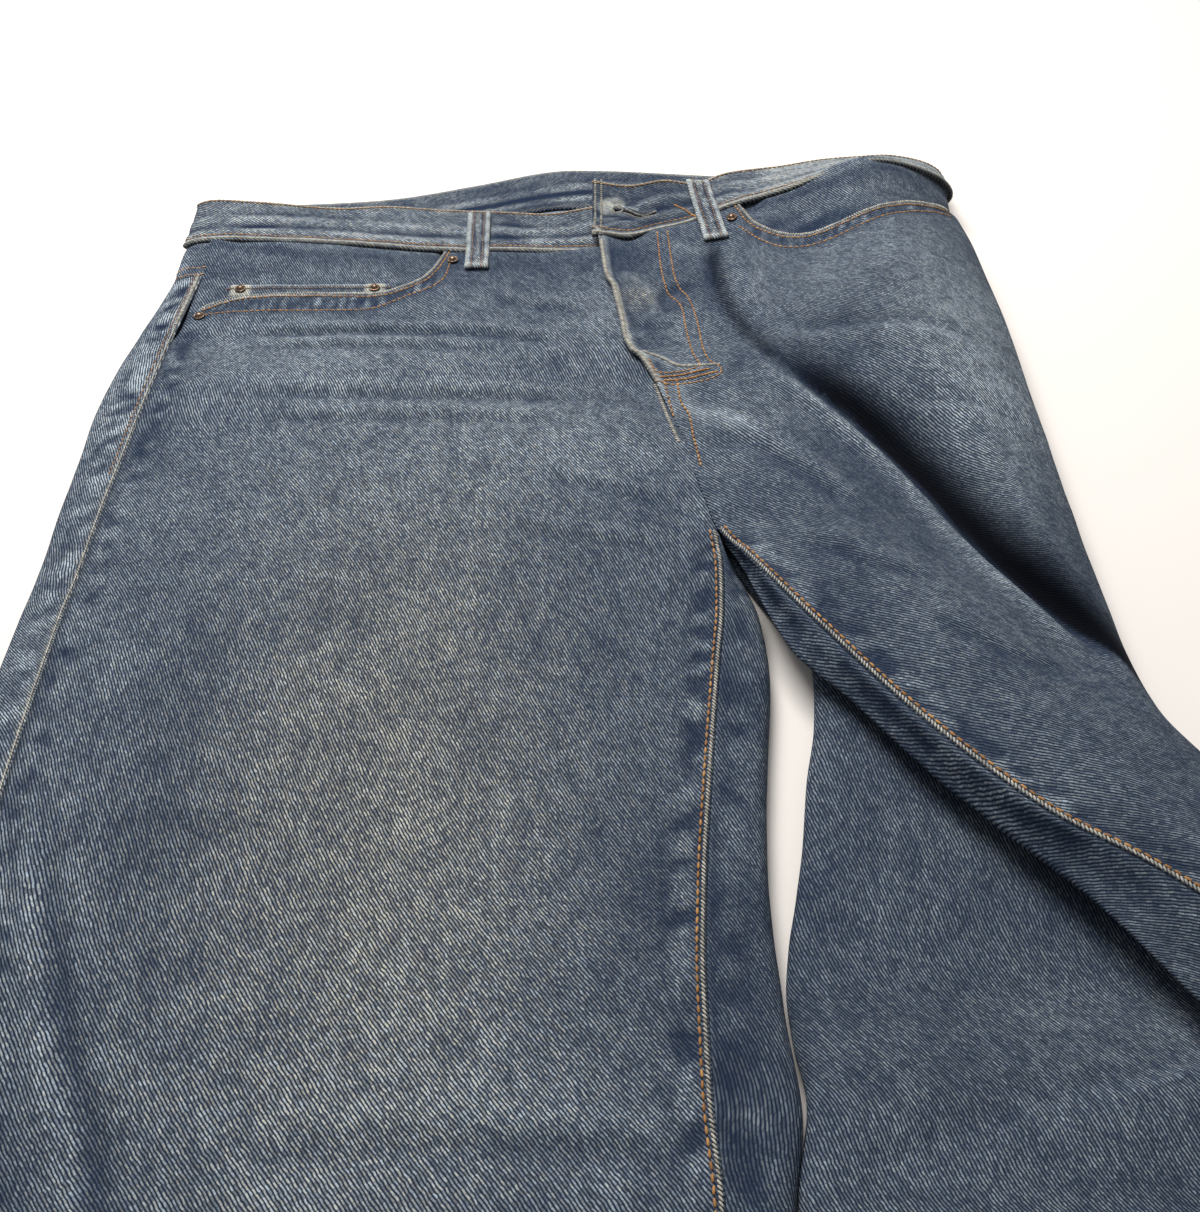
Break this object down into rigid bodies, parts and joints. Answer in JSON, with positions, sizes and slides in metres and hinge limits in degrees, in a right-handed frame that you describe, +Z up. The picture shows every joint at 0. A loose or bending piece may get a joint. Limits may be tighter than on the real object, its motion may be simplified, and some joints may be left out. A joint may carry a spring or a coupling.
{
  "type": "jeans",
  "caption": "Full-length denim jeans laid flat, front up, with the left leg turned outwards so that its inner seam crosses it.",
  "frame": {"origin": "on the underside of the seat, where the back lies on the surface, between the fly and the crotch", "axes": "+X from the wearer's right to left, +Y from the hems to the waist, +Z up from the surface it lies on"},
  "size_m": [0.546, 1.124, 0.0518],
  "materials": {
    "denim": "matte",
    "topstitch_thread": "satin",
    "worn_edge": "matte",
    "antique_brass": "satin"
  },
  "bodies": {
    "root": {"back_left": "denim", "back_right": "denim", "belt_loop_back_centre": "denim", "belt_loop_back_left": "denim", "belt_loop_back_right": "denim", "belt_loop_front_left": "denim", "belt_loop_front_right": "denim", "button": "antique_brass", "coin_pocket": "denim", "fly_facing": "denim", "front_left": "denim", "front_right": "denim", "hem_left": "denim", "hem_right": "denim", "pocket_facing_left": "denim", "pocket_facing_right": "denim", "rivet_coin_inner": "antique_brass", "rivet_coin_outer": "antique_brass", "rivet_left_inner": "antique_brass", "rivet_right_inner": "antique_brass", "rivet_right_outer": "antique_brass", "waistband": "denim", "yoke_left": "denim", "yoke_right": "denim"}
  },
  "joints": []
}
